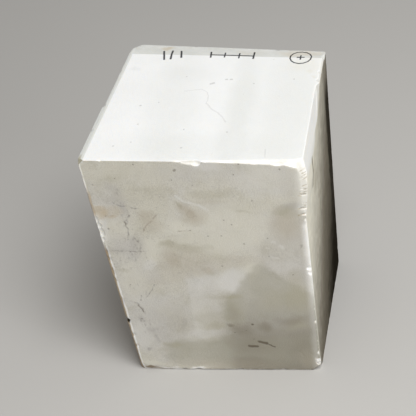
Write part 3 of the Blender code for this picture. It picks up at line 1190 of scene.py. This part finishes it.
# Painted shade in the creases: short brown dashes across the crushed stretch, and one at the right toe.
crease_shade = drawn(
    "front",
    (0.7, (123, 316.5), (130, 318)),
    (0.7, (125, 312.5), (131, 313.5)),
    (0.6, (125, 309), (129, 310)),
    (0.6, (125, 305), (129, 306)),
    (0.6, (123, 295), (129, 296.5)),
    (0.7, (122, 289.5), (129, 291)),
    (0.8, (120, 285.5), (129, 287)),
    (1.1, (117, 282), (125, 283.5)),
    (0.7, (122, 270.5), (125, 270.5)),
    (0.7, (122, 267), (125, 267.5)),
    (1.2, (114, 262.5), (120, 263.5)),
    (1.0, (114, 253.5), (120, 254.5)),
    (0.8, (108, 13), (112, 15)),
    edge=0.8,
)
colour = marble.mix(crease_shade * (0.2 + broken_up * 0.5), colour, CREASE_SHADE_BROWN)

# The weathered skin on the left side, brown and flaking off the clouded stone. The pit of a notch in it is
# painted dark, a painted shadow, and a white bruise runs beside it down the front.
SKIN = (0.49, 0.39, 0.275, 1)
DARK_SKIN = (0.32, 0.245, 0.175, 1)
skin_colour = marble.mix(middling.eased(0.35, 0.65), SKIN, DARK_SKIN)
skin_colour = marble.mix(slow.eased(0.4, 0.6, 0.5), skin_colour, TAN)
from_left = inside("left") + (middling - 0.5) * 3
low_left = height.eased(215, 200)
skin = from_left.eased(4.0, 3.4) * low_left.most(height.eased(256, 264, 0.8) * height.eased(308, 285))
skin = skin.most(inside("left").eased(1.0, 0.5) * inside("front").eased(2, 6))
worn_away = noise(cloud_place, 70, detail=6.0).eased(0.54, 0.62, 0.85) * inside("front").eased(10, 30)
skin = skin * (1 - worn_away) * (1 - left_margin) * inside("top").eased(2, 6)
colour = marble.mix(skin, colour, skin_colour)
white_rim = from_left.eased(3.6, 4.2) * from_left.eased(6.6, 5.4, 0.55) * inside("front").eased(3, 1.5)
colour = marble.mix(white_rim * low_left, colour, BRUISED_AND_GLOW_WHITE)
# A painted shadow, near black, in the pit of the notch.
notch_shadow = clouds("front", (-123, 88, 6, 4.6, 0, 0.95), depth=12, softness=0.3)
colour = marble.mix(notch_shadow * inside("left").eased(6.5, 5.5), colour, PAINTED_SHADE_BLACK)

# Setting-out marks in ink, along the back of the top.
INK = (0.02, 0.02, 0.025, 1)
RING_MIDDLE = np.array((104, 77))
RING_HALF_SIZE = (13, 12.5)
RING_TURN = np.linspace(0.2, 6.4, 15)  # its ends overlap a little, as a hand draws it
RING = RING_MIDDLE + np.stack((np.cos(RING_TURN), np.sin(RING_TURN)), 1) * RING_HALF_SIZE
ink = drawn(
    "top",
    (1.2, (-68, 91), (-65, 74)),
    (1.2, (-57, 92), (-57, 75)),
    (1.2, (-46, 91), (-44, 78)),
    (0.9, (-8, 83), (46, 80)),
    (1.1, (-8, 89), (-7, 78)),
    (0.9, (10, 87), (10, 78)),
    (0.9, (28, 86), (28, 76)),
    (1.1, (46, 88), (46, 75)),
    (0.85, *RING),
    (0.9, RING_MIDDLE - (4, 0), RING_MIDDLE + (4, 0)),
    (0.9, RING_MIDDLE + (0, 4), RING_MIDDLE - (0, 4)),
    where=hand_place,
)
colour = marble.mix(ink * 0.95, colour, INK)

roughness = 0.6 + fine * 0.3
grain = marble.add("Bump", {}, {"Strength": 0.6, "Distance": 0.0005, "Height": fine + middling})
surface = marble.add(
    "BsdfPrincipled",
    {},
    {
        "Base Color": colour,
        "Roughness": roughness,
        "Normal": grain,
        "Specular IOR Level": 0.0,
        "Subsurface Weight": 0.5,
        "Subsurface Radius": (1.0, 0.92, 0.8),
        "Subsurface Scale": 0.0035,
    },
)
marble.add("OutputMaterial", {}, {"Surface": surface})
stone_mesh.materials.append(marble.material)
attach(stone, "root")
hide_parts("marble_block")


# ---------------------------------------------------------------------------------------------------------
# The studio: a plain pale floor that the stone stands on, soft lights, and the camera.

FLOOR_HALF_SIDE = 6.0
FLOOR_COLOUR = (0.5, 0.49, 0.47, 1)

floor_mesh = bpy.data.meshes.new("studio_floor")
floor_corners = np.array(((-1, -1, 0), (1, -1, 0), (1, 1, 0), (-1, 1, 0))) * FLOOR_HALF_SIDE
floor_mesh.from_pydata(floor_corners, [], [(0, 1, 2, 3)])
floor = bpy.data.objects.new("studio_floor", floor_mesh)
bpy.context.scene.collection.objects.link(floor)
floor_recipe = Recipe("studio_floor")
floor_surface = floor_recipe.add("BsdfPrincipled", {}, {"Base Color": FLOOR_COLOUR, "Roughness": 0.9})
floor_recipe.add("OutputMaterial", {}, {"Surface": floor_surface})
floor_mesh.materials.append(floor_recipe.material)

DAYLIGHT = (1, 0.985, 0.96, 1)
DAYLIGHT_STRENGTH = 0.33

world = bpy.data.worlds.new("studio")
world.use_nodes = True
background = world.node_tree.nodes["Background"]
background.inputs["Color"].default_value = DAYLIGHT
background.inputs["Strength"].default_value = DAYLIGHT_STRENGTH
bpy.context.scene.world = world


def turned(degrees, axis):
    """A turn about one axis."""
    return Matrix.Rotation(math.radians(degrees), 4, axis)


def looking_at(target, azimuth, elevation, distance, roll=0):
    """How a lamp or a camera stands to look at a target, in metres: azimuth is counted from the front towards
    the right, elevation from level, and roll is a turn about its own line of sight."""
    sight = turned(azimuth, "Z") @ turned(90 - elevation, "X") @ turned(roll, "Z")
    return Matrix.Translation(target) @ sight @ Matrix.Translation((0, 0, distance))


LAMPS_LOOK_AT = (0, 0, 0.2)
LAMP_DISTANCE = 2.5


def soft_light(name, side, power, azimuth, elevation):
    """A square lamp that looks at the stone."""
    lamp = bpy.data.lights.new(name, "AREA")
    lamp.shape = "SQUARE"
    lamp.size = side
    lamp.energy = power
    holder = bpy.data.objects.new(name, lamp)
    holder.matrix_world = looking_at(LAMPS_LOOK_AT, azimuth, elevation, LAMP_DISTANCE)
    bpy.context.scene.collection.objects.link(holder)


soft_light("key", side=1.2, power=52, azimuth=40, elevation=60)
soft_light("fill", side=1.0, power=18, azimuth=50, elevation=15)

LENS = 127.77
SENSOR_WIDTH = 36
CAMERA_LOOKS_AT = (-0.0266, 0.0058, 0.172)

camera = bpy.data.cameras.new("camera")
camera.lens = LENS
camera.sensor_width = SENSOR_WIDTH
camera_object = bpy.data.objects.new("camera", camera)
camera_object.matrix_world = looking_at(
    CAMERA_LOOKS_AT, azimuth=16.535, elevation=36.606, distance=1.8639, roll=-11.229
)
bpy.context.scene.collection.objects.link(camera_object)
bpy.context.scene.camera = camera_object
bpy.context.scene.view_settings.view_transform = "Standard"
